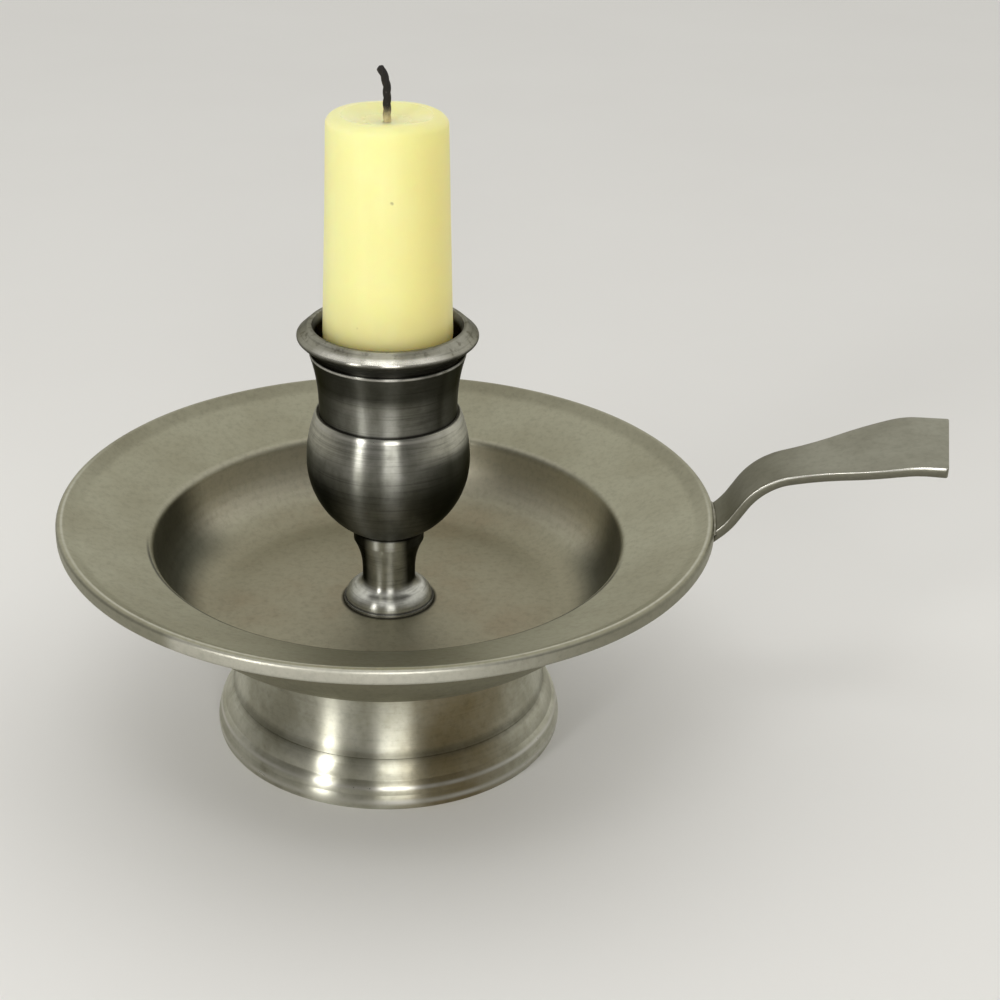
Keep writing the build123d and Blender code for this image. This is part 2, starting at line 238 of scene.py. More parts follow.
def pewter(
    name,
    colour,
    tarnish,
    roughness,
    turning=0.0,
    brushed=0.0,
    edge=1.0,
    cloud_size=14,
    creases=(),
    worn=(),
    stains=None,
):
    """Aged pewter: colour fades to tarnish in soft clouds, of a size in millimetres. The creases are
    darkened with grime and painted shade, and brighter metal shows on the worn rings. Turning marks
    are noise over radius and height, so they run round the axis, and brushed stretches the
    highlights across them. Edge darkens what grazing light shows. Stains gives further masks with
    their colours and how much rougher they are."""
    # The second colour darkens the creases: grime with painted shade.
    mark_colour, crease_dirt_and_shade_colour = (0.02, 0.018, 0.012, 1), (0.02, 0.018, 0.013, 1)
    bare_colour = (0.60, 0.59, 0.54, 1)
    material, shader, place = new_material(name, 1.0)
    x, y, z = split(place)
    radius = (x * x + y * y + 1e-9) ** 0.5
    marks = noise(combined(radius * 2600, z * 2600, x / radius + y / radius * 1.4), 1.0, 2.0, 0.6)
    clouds = noise(place, 1000 / cloud_size, 4.0, 0.6)
    grain = noise(place, 900.0, 3.0, 0.7)
    # Painted shade with grime: the rings in the creases are darkened.
    crease_dirt_and_shade = ring_mask(radius, z, creases) * (0.6 + clouds * 0.6)
    shine = ring_mask(radius, z, worn) * clouds.rising(0.25, 0.6)
    patina = clouds.rising(0.34, 0.68).towards(colour, tarnish)
    dull = roughness + (clouds - 0.5) * 0.14
    for mask, stain, rougher in stains(x, y, z, radius, clouds) if stains else ():
        patina = mask.towards(patina, stain)
        dull = dull + mask * rougher
    lines = grain.rising(0.4, 0.8) * 0.16 + marks.rising(0.45, 0.75) * (0.35 * turning)
    patina = lines.towards(patina, mark_colour)
    patina = shine.math("MINIMUM", shine, 1.0).towards(patina, bare_colour)
    patina = crease_dirt_and_shade.math("MINIMUM", crease_dirt_and_shade, 0.9).towards(patina, crease_dirt_and_shade_colour)
    rough = dull + (grain - 0.5) * 0.1 + crease_dirt_and_shade * 0.2 - shine * 0.06
    relief = marks * turning + grain * 0.15
    bump = place.node("ShaderNodeBump", {}, {"Strength": 0.4, "Distance": 0.00003, "Height": relief})
    feed(shader, Base_Color=patina, Roughness=rough, Normal=bump)
    shader.inputs["Anisotropic"].default_value = brushed
    shader.inputs["Anisotropic Rotation"].default_value = 0.25
    shader.inputs["Specular Tint"].default_value = (edge, edge, edge * 0.95, 1)
    return material


def dress(piece, material, node, body):
    """Gives a piece its material and slot, and lets it stand for its node and move with its body."""
    piece.data.materials.clear()
    piece.data.materials.append(material)
    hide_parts(node)
    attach(piece, body)


sheet = 1.4
base_radius = 31.9
band_radius, band_top = 31.8, 2.8
torus_radius, torus_top = 30.7, 5.2
ovolo_radius, base_top = 29.1, 8.6
cove_radius, cove_top = 29.0, 18.4
waist, foot_top = 27.1, 23.4
ledge_bore = 18.0
moulding_bow = -0.25  # to the right of the chord, which is outwards
foot_outline = np.concatenate([
    bowed((base_radius, 0), (band_radius, band_top), moulding_bow),
    bowed((band_radius, band_top), (torus_radius, torus_top), moulding_bow)[1:],
    bowed((torus_radius, torus_top), (ovolo_radius, base_top), moulding_bow)[1:],
    arc((waist, cove_top), (cove_radius, base_top), -90)[::-1],
    [(waist, foot_top), (ledge_bore, foot_top)],
    [(ledge_bore, foot_top - sheet), (waist - sheet, foot_top - sheet)],
    arc((waist - sheet, cove_top), (cove_radius - sheet, base_top), -90),
    [(torus_radius - sheet, torus_top - sheet), (base_radius - sheet, 0)],
])
foot = turned("foot_shell", foot_outline, ease=0.5)


def foot_stains(x, y, z, radius, clouds):
    """A brown bloom down the right of the foot, and a soft grey line of painted shade where cove and
    moulding meet.
    """
    bloom = x.rising(0.003, 0.013) * x.rising(0.027, 0.016) * (0.35 + clouds)
    # Painted shade: a soft dark ring where the cove meets the moulding.
    cove_shade = ring_mask(radius, z, [(28.8, 8.9, 1.6)]) * (0.3 + clouds * 0.5)
    return [(bloom, (0.27, 0.22, 0.12, 1), 0.06), (cove_shade, (0.13, 0.125, 0.09, 1), 0.08)]


foot_finish = pewter(
    "foot_pewter",
    colour=(0.53, 0.525, 0.445, 1),
    tarnish=(0.33, 0.32, 0.245, 1),
    roughness=0.33,
    turning=0.25,
    brushed=0.95,
    creases=[(waist, foot_top, 2.0)],
    worn=[(32.1, 1.5, 0.8), (31.4, 4.0, 0.6)],
    stains=foot_stains,
)
dress(foot, foot_finish, "foot", "holder")

# Drip pan: one disc of pewter spun to a deep well with a broad rising flange, its edge turned up
# into a thick lip. The flange has a satin bloom, and the well is browner and duller from wax.
pan_floor, well_edge, flange_edge, rim = 24.8, 38.7, 43.5, 44.9
screw_hole, pan_radius, lip_foot = 2.25, 58.5, 42.1
well_round, lip_soft = 12.0, 0.7


def beneath(before, corner, after):
    """Corner of the sheet's lower face, a sheet's thickness to the right of a bent path."""
    entry, leave = np.subtract(corner, before), np.subtract(after, corner)
    entry, leave = entry / math.hypot(*entry), leave / math.hypot(*leave)
    normals = np.array([entry[1] + leave[1], -entry[0] - leave[0]])
    return np.array(corner) + normals * sheet / (1 + entry @ leave)


def rounded(corners, radii, count=10):
    """Closed outline through corners, each rounded by a circular arc of its own radius."""
    corners = np.array(corners, float)
    before, after = np.roll(corners, 1, 0) - corners, np.roll(corners, -1, 0) - corners
    before /= np.hypot(*before.T)[:, None]
    after /= np.hypot(*after.T)[:, None]
    half = np.arccos(np.clip((before * after).sum(1), -1, 1)) / 2
    reach = np.array(radii, float) / np.tan(half)
    inwards = (before + after) / np.hypot(*(before + after).T)[:, None]
    middle = corners + inwards * (np.array(radii) / np.sin(half))[:, None]
    first = corners + before * reach[:, None] - middle
    last = corners + after * reach[:, None] - middle
    sweep = np.arctan2(first[:, 0] * last[:, 1] - first[:, 1] * last[:, 0], (first * last).sum(1))
    turn = sweep[:, None] * np.linspace(0, 1, count)
    x = middle[:, :1] + first[:, :1] * np.cos(turn) - first[:, 1:] * np.sin(turn)
    y = middle[:, 1:] + first[:, :1] * np.sin(turn) + first[:, 1:] * np.cos(turn)
    return np.stack([x, y], -1).reshape(-1, 2)


hole, floor_corner, well_top = (screw_hole, pan_floor), (40.2, pan_floor), (42.2, well_edge)
lip_root, lip_top = (55.2, flange_edge), (57.3, rim)
pan_outline = rounded(
    [
        hole,
        (screw_hole, pan_floor - sheet),
        beneath(hole, floor_corner, well_top),
        beneath(floor_corner, well_top, lip_root),
        beneath(well_top, lip_root, lip_top),
        (pan_radius, lip_foot),
        (pan_radius, rim),
        lip_top,
        lip_root,
        well_top,
        floor_corner,
    ],
    # the round at each of those corners, where the outer one of the well is a sheet wider
    [0.05, 0.05, well_round + sheet, 0.4, lip_soft, lip_soft, lip_soft, lip_soft, 6.0, 1.8, well_round],
)


def pan_stray(angle, radius, height):
    """Hand-spun unevenness: three waves round the flange, of a few hundredths of a millimetre."""
    far = np.clip((radius - 12) / 46, 0, 1) ** 2
    wave = 0.06 * np.sin(2 * angle + 0.7) + 0.035 * np.sin(5 * angle + 2.1)
    wave = wave + 0.02 * np.sin(11 * angle + radius / 5)
    return 0 * radius, wave * far


pan = turned("drip_pan_shell", pan_outline, step=0.8, ease=0.05, stray=pan_stray)


def pan_stains(x, y, z, radius, clouds):
    """A brown, dull floor with a few specks. The wall has a painted reflection at the back and painted
    shade at both sides, a painted highlight with wear along its back edge, and a line of painted shade
    along its edge in front. The fold inside the lip is painted shade at the back. The lip's outer face
    is darkened as painted shade, with a painted reflection in front and a painted highlight along its
    upper edge, fading towards the back. The underside is darkened as painted shade, and a little rougher."""
    floor = z.rising(0.0290, 0.0252) * 0.75
    wall = radius.rising(0.0360, 0.0405) * z.rising(0.0388, 0.0370)
    # Painted reflection: the back of the well wall is lightened.
    back = wall * y.rising(0.002, 0.018)
    # Painted shade: the well wall is darkened at both sides.
    hollow = radius.rising(0.0330, 0.0390) * z.rising(0.0389, 0.0374)
    side = hollow * ((y + 0.003) ** 2).rising(0.00050, 0.00008) * (0.7 + clouds * 0.4)
    front = y.rising(-0.012, -0.034)
    behind = y.rising(-0.015, 0.015)
    # Painted shade: a dark line along the well's front edge.
    edge = ring_mask(radius, z, [(43.0, 39.0, 0.45)]) * y.rising(-0.006, -0.016)
    # Painted highlight with wear: the back edge of the well is lightened.
    back_edge_highlight_and_wear = ring_mask(radius, z, [(42.3, 38.8, 1.1)]) * behind * clouds.rising(0.3, 0.6) * 0.6
    # Painted shade: the fold inside the lip is darkened at the back.
    fold = radius.rising(0.0543, 0.0558) * radius.rising(0.0586, 0.0572) * behind * (0.25 + clouds * 0.5)
    # Painted shade: the lip's whole outer face is darkened.
    face = radius.rising(0.0579, 0.0584)
    # Painted reflection: the front of the lip's outer face is lightened.
    front_highlight = front * x.rising(-0.0300, -0.0265) * x.rising(0.042, 0.010) * (0.4 + clouds)
    # Painted highlight: a light line along the lip's upper edge, fading towards the back.
    line = ring_mask(radius, z, [(57.5, 44.85, 0.4)]) * y.rising(0.020, -0.005) * (0.3 + clouds * 0.8)
    place = combined(x, y, z)
    speck = place.node("ShaderNodeTexVoronoi", {}, {"Vector": place, "Scale": 130.0}, "Distance")
    speck = speck.rising(0.12, 0.05) * noise(place, 70.0, 1.0).rising(0.60, 0.66) * 0.6
    # Painted shade: the pan's underside and the outside of its belly are darkened.
    below = z - 0.369 * radius
    under = radius.rising(0.0425, 0.0435) * below.rising(0.0226, 0.0220)
    bend_radius, bend_height = 0.0298, 0.0368
    bend = ((radius - bend_radius) ** 2 + (z - bend_height) ** 2) ** 0.5
    belly = bend.rising(0.0125, 0.0129) * radius.rising(0.0295, 0.0305) * z.rising(0.0372, 0.0362)
    under = under.math("MAXIMUM", under, belly) * radius.rising(0.0580, 0.0570)
    return [
        (floor, (0.33, 0.305, 0.22, 1), 0.10),
        (floor * clouds.rising(0.45, 0.65) * 0.6, (0.30, 0.245, 0.165, 1), 0.0),
        (back, (0.52, 0.49, 0.385, 1), 0.06),
        (side, (0.038, 0.039, 0.028, 1), 0.0),
        (edge, (0.06, 0.057, 0.042, 1), 0.0),
        (back_edge_highlight_and_wear, (0.50, 0.48, 0.39, 1), 0.0),
        (fold, (0.20, 0.19, 0.135, 1), 0.0),
        (under * 0.8, (0.20, 0.19, 0.13, 1), 0.05),
        (face, (0.25, 0.243, 0.185, 1), 0.0),
        (face * front_highlight, (0.52, 0.51, 0.44, 1), -0.06),
        (line, (0.55, 0.54, 0.46, 1), 0.0),
        (speck, (0.11, 0.09, 0.05, 1), 0.1),
    ]


pan_finish = pewter(
    "pan_pewter",
    colour=(0.335, 0.326, 0.243, 1),
    tarnish=(0.285, 0.272, 0.195, 1),
    roughness=0.44,
    turning=0.06,
    cloud_size=26,
    creases=[(8.3, pan_floor, 0.7)],
    stains=pan_stains,
)
dress(pan, pan_finish, "drip_pan", "holder")

# Solder between foot and pan: a plain fillet of soft solder, run round the joint where the foot's
# ledge meets the underside of the pan, and left dull.
solder_finish = pewter(
    "soft_solder",
    colour=(0.36, 0.35, 0.30, 1),
    tarnish=(0.22, 0.21, 0.16, 1),
    roughness=0.5,
    cloud_size=3,
)
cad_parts["foot_solder"].data.materials.clear()
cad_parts["foot_solder"].data.materials.append(solder_finish)

# Screw and washer: a slotted steel screw with a plain washer, put in from below to draw the stem
# down on the pan.
screw_finish = pewter(
    "screw_steel",
    colour=(0.50, 0.50, 0.49, 1),
    tarnish=(0.30, 0.28, 0.25, 1),
    roughness=0.36,
    turning=0.5,
    cloud_size=4,
    creases=[(2.6, 21.0, 0.8), (6.4, 22.7, 0.5)],
)
for name in ("fixing_screw", "fixing_washer"):
    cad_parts[name].data.materials.clear()
    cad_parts[name].data.materials.append(screw_finish)

# Socket stem: a short baluster turned from the bar, with a base disc, a rounded shoulder, a waist
# and a collar. It is tapped for the screw below, and its tenon is soldered into the bulb.
bulb_foot = 39.7
disc_radius, disc_top = 8.2, 25.4
shoulder_radius, shoulder_top = 7.9, (6.0, 27.8)
stem_waist, waist_low, waist_high = 4.8, 29.6, 31.2
collar_radius, collar_low = 6.35, 37.4
thread_radius, thread_top = 2.0, 33.3
tenon_radius, tenon_top = 3.0, 44.7
stem_outline = np.concatenate([
    [(thread_radius, thread_top), (thread_radius, pan_floor)],
    [(disc_radius, pan_floor), (disc_radius, disc_top)],
    arc((shoulder_radius, disc_top), shoulder_top, 90),
    arc((stem_waist, waist_low), shoulder_top, -90)[::-1],
    arc((stem_waist, waist_high), (collar_radius, collar_low), 90),
    [(collar_radius, bulb_foot), (tenon_radius, bulb_foot)],
    [(tenon_radius, tenon_top), (0, tenon_top), (0, thread_top)],
])
stem = turned("socket_stem_turned", stem_outline, step=0.4, ease=0.2)
socket_look = dict(
    colour=(0.35, 0.35, 0.32, 1),
    tarnish=(0.20, 0.20, 0.172, 1),
    roughness=0.33,
    turning=0.9,
    brushed=0.92,
    edge=0.35,
    cloud_size=9,
)


def stem_stains(x, y, z, radius, clouds):
    """Painted shade: black in the hollow of the waist, thinner towards the front, and in the gap under
    the bulb.
    """
    sides = (x * x).rising(0.000004, 0.000016)
    # Painted shade: the sides of the waist are darkened.
    hollow = z.rising(0.0282, 0.0298) * sides * (0.8 + clouds * 0.4)
    # Painted shade: black in the gap under the bulb.
    gap = z.rising(0.0391, 0.0396)
    return [(hollow, (0.035, 0.035, 0.026, 1), 0.0), (gap, (0.012, 0.012, 0.009, 1), 0.1)]


stem_finish = pewter(
    "stem_pewter",
    creases=[(8.0, disc_top, 0.4), (6.4, bulb_foot, 0.7)],
    worn=[(disc_radius, 25.1, 0.3)],
    stains=stem_stains,
    **(socket_look | dict(colour=(0.68, 0.68, 0.63, 1), tarnish=(0.44, 0.44, 0.39, 1))),
)
dress(stem, stem_finish, "socket_stem", "holder")

# Socket bulb: the cup under the candle, turned as two curves that meet at its widest ring, and
# bored for the candle. Its shoulders carry painted light, and below them it is painted nearly black as
# painted shade.
bulb_top, seat, spigot_foot = 62.3, 48.6, 58.3
belly = (14.5, 53.2)
bulb_foot_radius, bulb_top_radius = 6.3, 12.8
socket_bore, spigot_bore = 11.3, 12.17
tenon_bore, tenon_bore_top = 3.02, 45.0
bulb_outline = np.concatenate([
    arc(belly, (bulb_foot_radius, bulb_foot), -90, 24)[::-1],
    arc(belly, (bulb_top_radius, bulb_top), 90)[1:],
    [(spigot_bore, bulb_top), (spigot_bore, spigot_foot)],
    [(socket_bore, spigot_foot), (socket_bore, seat), (0, seat)],
    [(0, tenon_bore_top), (tenon_bore, tenon_bore_top), (tenon_bore, bulb_foot)],
])
bulb = turned("socket_bulb_turned", bulb_outline, step=0.5, ease=0.2)


def bulb_stains(x, y, z, radius, clouds):
    """Painted light on the upper shoulders. The lower half is painted nearly black as painted shade,
    less so in front, and so is the side towards the handle."""
    sides = (x * x).rising(0.00001, 0.00010)
    # Painted shade: the lower half is darkened, most at the sides.
    low = z.rising(0.0575, 0.0505) * (0.45 + sides * 0.5) * (0.75 + clouds * 0.4)
    # Painted shade: the side towards the handle is darkened.
    right = x.rising(0.004, 0.011) * z.rising(0.0590, 0.0560)
    # Painted light: the upper shoulders are lightened.
    shoulder = z.rising(0.0560, 0.0595) * sides
    return [
        (shoulder, (0.56, 0.55, 0.47, 1), 0.08),
        (low, (0.03, 0.031, 0.024, 1), 0.0),
        (right * 0.8, (0.04, 0.04, 0.028, 1), 0.0),
    ]


bulb_finish = pewter(
    "bulb_pewter",
    creases=[(6.4, bulb_foot, 1.0), (12.4, bulb_top, 0.5)],
    worn=[(12.9, 61.7, 0.5)],
    stains=bulb_stains,
    **socket_look,
)
dress(bulb, bulb_finish, "socket_bulb", "holder")

# Socket nozzle: the neck above the bulb, turned with a sharp ring, a groove and a sloping lip, and
# let into the bulb by a spigot. The lip carries a painted highlight in front, with painted shade under
# it.
socket_rim, mouth_foot = 78.6, 73.7
neck_radius, neck_flare = 12.15, 63.8
ring_radius, ring_low, ring_top = 13.6, 73.3, 73.8
groove_radius, groove_top = 13.05, 74.1
lip_radius, lip_low, lip_high, lip_round = 15.7, 76.4, 76.9, 0.5
lip_under = (15.2, 75.9)
lip_inner, mouth = (13.8, socket_rim), (13.1, socket_rim)
lip_corners = [lip_under, (lip_radius, lip_low), (lip_radius, lip_high), lip_inner, mouth]
per_corner = 10
lip_edge = rounded(lip_corners, [0, lip_round, lip_round, 0, 0], per_corner)[per_corner : -2 * per_corner]
nozzle_outline = np.concatenate([
    [(socket_bore, spigot_foot), (neck_radius, spigot_foot)],
    arc((neck_radius, neck_flare), (ring_radius, ring_low), 90),
    [(ring_radius, ring_top), (groove_radius, ring_top)],
    bowed((groove_radius, groove_top), lip_under, 0.25),
    lip_edge,
    [lip_inner, mouth, (socket_bore, mouth_foot)],
])
nozzle = turned("socket_nozzle_turned", nozzle_outline, step=0.45, ease=0.18)


def nozzle_stains(x, y, z, radius, clouds):
    """Painted shade under the lip, down the upper neck, on its sides, and in the mouth and bore. The
    lip's slope is mottled, with a painted highlight in front."""
    sides = (x * x).rising(0.00002, 0.00009)
    # Painted shade: the upper neck is darkened under the lip.
    neck = z.rising(0.0672, 0.0695) * z.rising(0.0762, 0.0750) * (0.55 + clouds * 0.5)
    # Painted shade: the sides below the lip are darkened.
    flanks = z.rising(0.0752, 0.0745) * sides * 0.85
    # Painted shade: the lip's underside is darkened.
    lip = z.rising(0.0752, 0.0757) * z.rising(0.0769, 0.0766) * (0.55 + clouds * 0.5)
    top = z.rising(0.0765, 0.0770) * (0.45 + clouds * 0.6)
    pits = noise(combined(x, y, z), 620.0, 3.0, 0.7).rising(0.52, 0.66) * 0.6
    mottle = z.rising(0.0765, 0.0770) * pits
    slope = z.rising(0.0767, 0.0770) * z.rising(0.0779, 0.0774)
    # Painted highlight: the front of the lip's slope is lightened.
    front_highlight = slope * y.rising(-0.0095, -0.0135) * (0.2 + clouds)
    # Painted shade: the mouth and bore are darkened.
    mouth = radius.rising(0.0129, 0.0125) * z.rising(0.0740, 0.0746)
    bore = radius.rising(0.0121, 0.0117)
    return [
        (neck, (0.05, 0.05, 0.04, 1), 0.0),
        (flanks, (0.05, 0.05, 0.038, 1), 0.0),
        (lip, (0.06, 0.058, 0.045, 1), 0.0),
        (top, (0.33, 0.32, 0.26, 1), 0.0),
        (mottle, (0.13, 0.12, 0.09, 1), 0.05),
        (front_highlight, (0.92, 0.90, 0.83, 1), -0.1),
        (mouth.math("MAXIMUM", mouth, bore), (0.03, 0.026, 0.017, 1), 0.1),
    ]


nozzle_finish = pewter(
    "nozzle_pewter",
    creases=[(12.2, bulb_top, 0.5), (13.1, 73.95, 0.6)],
    worn=[(ring_radius, 73.5, 0.35)],
    stains=nozzle_stains,
    **socket_look,
)
dress(nozzle, nozzle_finish, "socket_nozzle", "holder")

# Strap handle: a flat strip of pewter bent to an S, narrow where it is soldered to the rim and
# widened to a blade for the thumb. Its upper arrises carry a painted highlight, its sides and root
# painted shade, and its upper face is a worn satin.
slopes = [math.radians(angle) for angle in (42.0, 58.2, 14.4, -0.5)]
line_start, seam_top = 54.5, 44.7
corners = [(line_start, seam_top - (pan_radius - line_start) * math.tan(slopes[0]))]
for slope, length in zip(slopes, (5.3, 5.3, 26.2, 11.5)):
    corners.append((corners[-1][0] + length, corners[-1][1] + length * math.tan(slope)))
per_bend = 24
strap_line = rounded(corners, [0, 13.0, 13.2, 19.0, 0], per_bend)
run = np.concatenate([[0], np.cumsum(np.hypot(*np.diff(strap_line, axis=0).T))])
bend_starts = per_bend * np.arange(1, 4)
bend_ends = run[np.stack([bend_starts, bend_starts + per_bend - 1], 1).ravel()]
heading = np.interp(run, bend_ends, np.repeat(slopes, 2)[1:-1])
root_half, blade_half = 5.75, 10.7
blade_start, blade_length = 67.5, 27
strip, end_strip, arris = 1.6, 1.9, 0.2
strap_end, end_skew, end_corner = 97.79, math.radians(9), 0.5


def strap_section(across, arris_steps=5):
    """Loop of a rounded bar, as four shares: place across, upper or lower face, and the sideways
    and upward parts of the arris. It runs over the top from +Y to -Y and back below."""
    flat = np.linspace(1, -1, across)
    quarter = np.linspace(0, math.pi / 2, arris_steps)[1:-1]
    right = np.concatenate([quarter, quarter + math.pi / 2])
    lower = np.concatenate([0 * quarter, 0 * quarter + 1])
    side = np.concatenate([flat, 0 * right - 1, flat[::-1], 0 * right + 1])
    face = np.concatenate([0 * flat, lower, 0 * flat + 1, lower[::-1]])
    out = np.concatenate([0 * flat, -np.sin(right), 0 * flat, np.sin(right[::-1])])
    up = np.concatenate([0 * flat + 1, np.cos(right), 0 * flat - 1, np.cos(right[::-1])])
    return side, face, out, up


def strap_points():
    """The strap's upper face follows the bent line, and its section is set across that line: as wide
    as the plan asks, as thick as the strip, with its root coped to the rim and its end cut oblique.
    The first and last rows close the ends, and the rows before the last round its edge."""
    side, face, out, up = strap_section(17)
    curl = np.sin(np.linspace(0, math.pi / 2, 7)[1:])
    body, neck = np.linspace(0, 0.97, 110), np.linspace(0.972, 0.990, 9)
    share = np.concatenate([[0], body, neck, 0.9905 + 0.0095 * curl, [1]])[:, None]
    closing = (np.arange(len(share)) % (len(share) - 1) == 0)[:, None]
    thick = np.interp(share, [0, 0.8, 1], [strip, strip, end_strip])
    depth = face * (thick - 2 * arris) + arris - up * arris
    half = np.full_like(depth, root_half)
    for _ in range(4):
        across = side * (half - arris) + out * arris
        rim_place = np.sqrt(pan_radius**2 - across**2) - depth * math.sin(slopes[0])
        root = (rim_place - line_start) / math.cos(slopes[0])
        end = np.interp(strap_end + across * math.tan(end_skew), strap_line[:, 0], run)
        distance = root + (end - root) * share
        x = np.interp(distance, run, strap_line[:, 0])
        widening = np.clip((x - blade_start) / blade_length, 0, 1)
        swell = np.where(widening < 0.45, widening**2 / 0.45, 1 - (1 - widening) ** 2 / 0.55)
        corner = np.clip(end_corner - (end - distance), 0, end_corner)
        round_off = end_corner - np.sqrt(end_corner**2 - corner**2)
        half = root_half + (blade_half - root_half) * swell - round_off
    edge = np.clip(arris - (end - distance), 0, arris)
    pinch = np.where(closing, 1, (arris - np.sqrt(arris**2 - edge**2)) / (thick / 2))
    depth = thick / 2 + (depth - thick / 2) * (1 - pinch)
    z = np.interp(distance, run, strap_line[:, 1])
    bend = np.interp(distance, run, heading)
    return np.stack([x + depth * np.sin(bend), across, z - depth * np.cos(bend)], -1)


points = strap_points()
strap = finished_mesh("strap_handle_bent", points, grid_faces(*points.shape[:2], close_rows=False))
facing = strap.data.attributes.new("facing", "FLOAT_VECTOR", "POINT")
normals = np.empty(len(strap.data.vertices) * 3, np.float32)
strap.data.vertices.foreach_get("normal", normals)
facing.data.foreach_set("vector", normals)


def strap_stains(x, y, z, radius, clouds):
    """Painted shade where the strap leaves the rim and along its sides, and a painted highlight on its
    upper arrises.
    """
    faces = x.node("ShaderNodeAttribute", {"attribute_name": "facing"}, output="Vector")
    _, sideways, upwards = split(faces)
    # Painted shade: the side faces are darkened.
    flank = (sideways * sideways).rising(0.55, 0.95)
    # Painted highlight: the upper arrises are lightened.
    arris_highlight = (sideways * sideways * upwards).rising(0.10, 0.30)
    return [
        # Painted shade: darker towards the root at the rim.
        (x.rising(0.0790, 0.0600) * (0.6 + clouds * 0.5), (0.085, 0.08, 0.05, 1), 0.0),
        (flank, (0.15, 0.145, 0.11, 1), 0.0),
        (arris_highlight, (0.85, 0.84, 0.78, 1), -0.15),
    ]


strap_finish = pewter(
    "strap_pewter",
    colour=(0.268, 0.264, 0.212, 1),
    tarnish=(0.21, 0.204, 0.158, 1),
    roughness=0.42,
    cloud_size=18,
    stains=strap_stains,
)
dress(strap, strap_finish, "strap_handle", "holder")

# Solder seam: a lumpy bead of soft solder, run into the notch between the lip and the strap and
# left as it froze. It thins out past the strap's two sides.
seam_half, seam_height, seam_bead = 0.112, 44.2, 0.6  # the first in radians round the rim
turn = np.linspace(-seam_half, seam_half, 60)[:, None]
swing = np.linspace(0, 2 * math.pi, 20, endpoint=False)[None, :]
taper = np.sqrt(np.clip(1 - (turn / seam_half) ** 2, 0, 1)) ** 0.6
lumps = 1 + 0.12 * np.sin(41 * turn + 1) * np.cos(13 * turn) + 0.05 * np.sin(2 * swing + 40 * turn)
bead = seam_bead * taper * lumps
bead_radius = pan_radius + bead * np.cos(swing)
bead_height = seam_height - bead * np.sin(swing)
bead_points = np.stack([bead_radius * np.cos(turn), bead_radius * np.sin(turn), bead_height], -1)
seam = finished_mesh("handle_solder_seam", bead_points, grid_faces(*bead.shape, close_rows=False))
dress(seam, solder_finish, "handle_solder", "holder")

# Candle: a plain moulded taper of pale yellow wax, its butt pared to fit the socket, burnt down to
# a soft edge round a shallow pool. It is darker and browner near the metal.
butt_radius, butt_top, candle_top = 10.9, 73.7, 115.1
wick_hole, pool_floor, pool_radius = 0.75, 113.6, 7.6
shoulder, burnt_edge = (11.23, 77.2), (10.09, candle_top)
candle_outline = np.concatenate([
    rounded(
        [
            (wick_hole, pool_floor),
            (wick_hole, seat),
            (butt_radius, seat),
            (butt_radius, butt_top),
            shoulder,
            burnt_edge,
            (pool_radius, candle_top),
        ],
        [0.01, 0.05, 0.4, 0.2, 0.3, 1.6, 0.01],
    ),
    bowed((pool_radius, candle_top), (wick_hole, pool_floor), 0.375)[1:-1],
])


def candle_stray(angle, radius, height):
    """Soft unevenness: the candle leans out of round by under a tenth of a millimetre above the
    socket, and its burnt edge rises and falls."""
    free = np.clip((height - 79) / 20, 0, 1)
    wave = 0.06 * np.sin(2 * angle + height / 19) + 0.03 * np.sin(3 * angle - height / 9)
    outwards = free * wave * (radius > 8.5)
    crest = np.clip((height - 112.6) / 2.5, 0, 1) * np.clip((radius - 5) / 4, 0, 1)
    upwards = -crest * (0.35 + 0.2 * np.sin(angle * 2 + 1) + 0.15 * np.sin(angle * 3 + 2.4))
    return outwards, upwards


candle = turned("candle_wax", candle_outline, step=0.9, ease=0.05, stray=candle_stray)


def wax(name):
    """Yellow wax: a pale body with faint clouds and streaks down its length, warmer and darker to the
    right as painted shade, darker and browner near the socket, with a few dark specks, light let in
    under the skin, and a gloss in the pool."""
    material, shader, place = new_material(name, 0.0)
    x, y, z = split(place)
    clouds = noise(place, 55.0, 3.0)
    streaks = noise(combined(x * 700, y * 700, z * 45), 1.0, 3.0, 0.6)
    skin = noise(place, 1500.0, 2.0)
    pale, deep = (0.90, 0.875, 0.43, 1), (0.88, 0.845, 0.38, 1)
    body = (clouds * 0.8 + streaks * 0.2).rising(0.35, 0.65).towards(pale, deep)
    # Painted shade: the right side is warmer and darker.
    body = (x.rising(-0.001, 0.0108) * 0.7).towards(body, (0.92, 0.80, 0.28, 1))
    # Darker and browner towards the socket.
    darker_near_socket = z.rising(0.0885, 0.0765) * (0.25 + clouds * 0.5)
    body = darker_near_socket.towards(body, (0.66, 0.54, 0.20, 1))
    specks = place.node("ShaderNodeTexVoronoi", {}, {"Vector": place, "Scale": 190.0}, "Distance")
    rare = (noise(place, 120.0, 1.0) + z.rising(0.097, 0.080) * 0.06).rising(0.56, 0.62)
    body = (specks.rising(0.09, 0.04) * rare * 0.5).towards(body, (0.10, 0.08, 0.04, 1))
    pool = z.rising(0.1128, 0.1146) * (x * x + y * y).rising(0.0000722, 0.0000480)
    rough = 0.42 + (streaks - 0.5) * 0.12 - pool * 0.22
    height = streaks * 0.5 + skin * 0.12 + clouds * 0.6
    bump = place.node("ShaderNodeBump", {}, {"Strength": 0.35, "Distance": 0.00012, "Height": height})
    feed(shader, Base_Color=body, Roughness=rough, Normal=bump)
    shader.inputs["Subsurface Weight"].default_value = 0.7
    shader.inputs["Subsurface Radius"].default_value = (0.012, 0.009, 0.0035)
    shader.inputs["Subsurface Scale"].default_value = 1.0
    shader.inputs["Specular IOR Level"].default_value = 0.4
    return material


dress(candle, wax("yellow_wax"), "candle", "candle")

